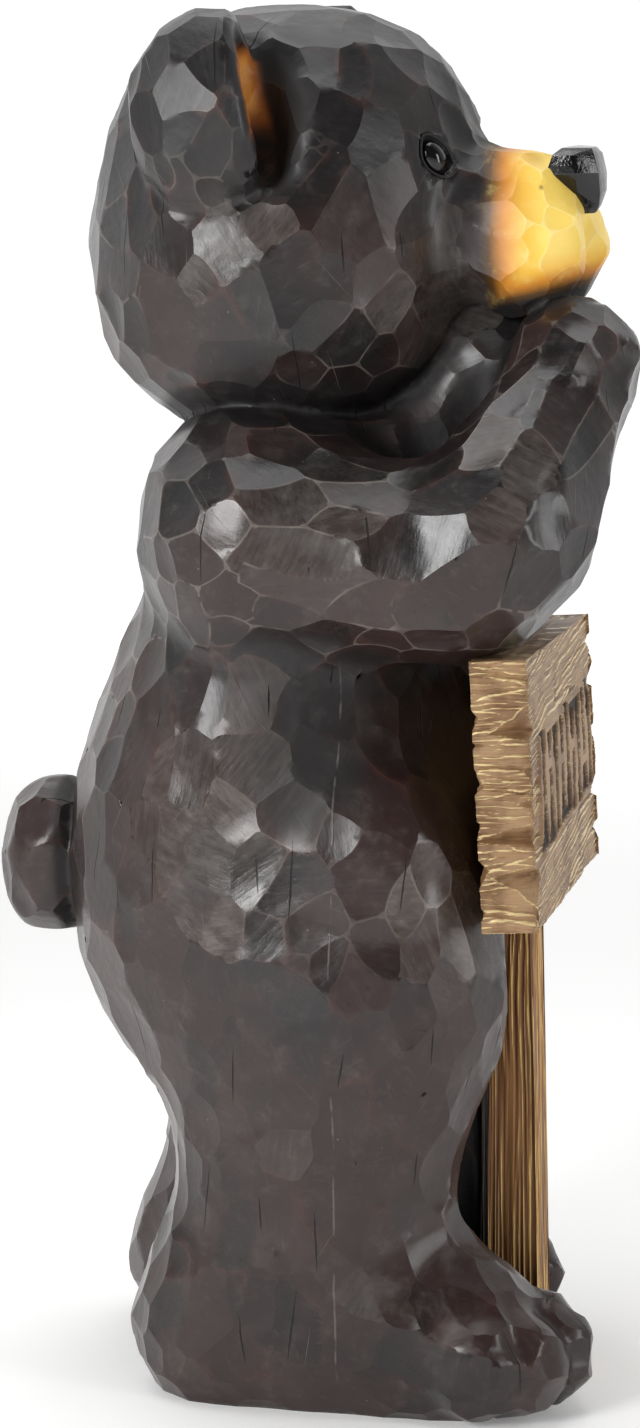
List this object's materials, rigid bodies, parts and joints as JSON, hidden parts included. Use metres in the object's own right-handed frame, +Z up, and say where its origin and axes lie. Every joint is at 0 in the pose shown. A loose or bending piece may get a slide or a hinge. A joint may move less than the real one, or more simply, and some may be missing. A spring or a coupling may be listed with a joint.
{
  "type": "bear statue with sign",
  "caption": "Standing black bear, carved-look casting, leaning its elbows on a rustic hewn board on a grained post, chin resting on both paws.",
  "frame": {"origin": "on the ground, in the middle of the whole piece's box", "axes": "+Z up; the bear looks along -Y; its own right side is at -X"},
  "size_m": [0.3128, 0.3871, 0.8049],
  "materials": {
    "bear_paint": "cast resin painted black-brown in a worn satin gloss, gouge ridges rubbed lighter; muzzle airbrushed yellow to orange, nose and eyes gloss black",
    "board_paint": "cast resin painted tan-brown with metallic gold dry-brushed on the hewn ridges, dark strokes in the lettering's place",
    "post_paint": "cast resin painted brown with metallic gold dry-brushed on the vertical grain"
  },
  "bodies": {
    "root": {"bear": "bear_paint", "sign_board": "board_paint", "sign_post": "post_paint"}
  },
  "joints": []
}
